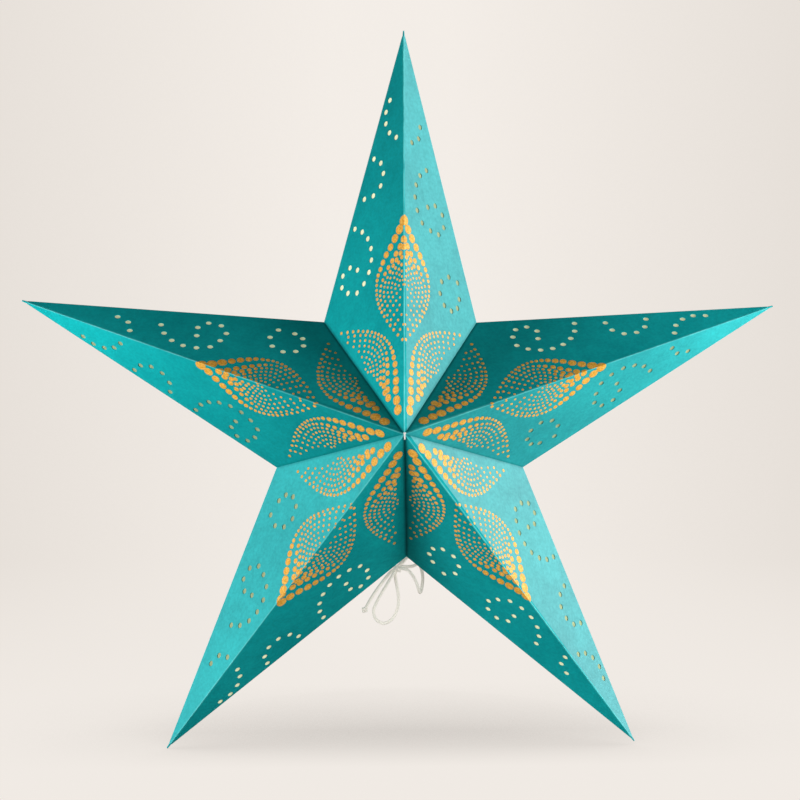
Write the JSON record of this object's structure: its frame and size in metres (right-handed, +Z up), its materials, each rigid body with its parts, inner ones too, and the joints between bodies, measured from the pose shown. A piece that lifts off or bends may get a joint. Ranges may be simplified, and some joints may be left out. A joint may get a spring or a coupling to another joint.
{
  "type": "paper star lamp shade",
  "caption": "Folded paper star shade with punched light holes, pointed arms glued edge to edge and a corner laced shut with a cord bow.",
  "frame": {"origin": "the laced corner between the two lower arms, in the star's middle plane, where the light fitting goes in and the star is held", "axes": "+X to the right across the star, from tip to tip; +Y from the front peak to the back peak; +Z up along the top arm"},
  "size_m": [0.5995, 0.2014, 0.5709],
  "materials": {
    "printed_paper": "matt, dyed through, slightly mottled, worn pale along the folds",
    "tissue": "thin matt tissue",
    "thread": "twisted cotton thread",
    "cord": "round braided cotton cord",
    "gold_print": "printed dots in thick matt gold ink"
  },
  "bodies": {
    "root": {"arm_top": "printed_paper", "arm_right": "printed_paper", "arm_lower_right": "printed_paper", "arm_lower_left": "printed_paper", "arm_left": "printed_paper", "lining_top": "tissue", "lining_right": "tissue", "lining_lower_right": "tissue", "lining_lower_left": "tissue", "lining_left": "tissue", "front_stitch": "thread", "back_stitch": "thread", "left_tie_cord": "cord", "right_tie_cord": "cord", "bow_knot": "cord", "left_stop_knot": "cord", "right_stop_knot": "cord", "end_knot": "cord"}
  },
  "joints": []
}
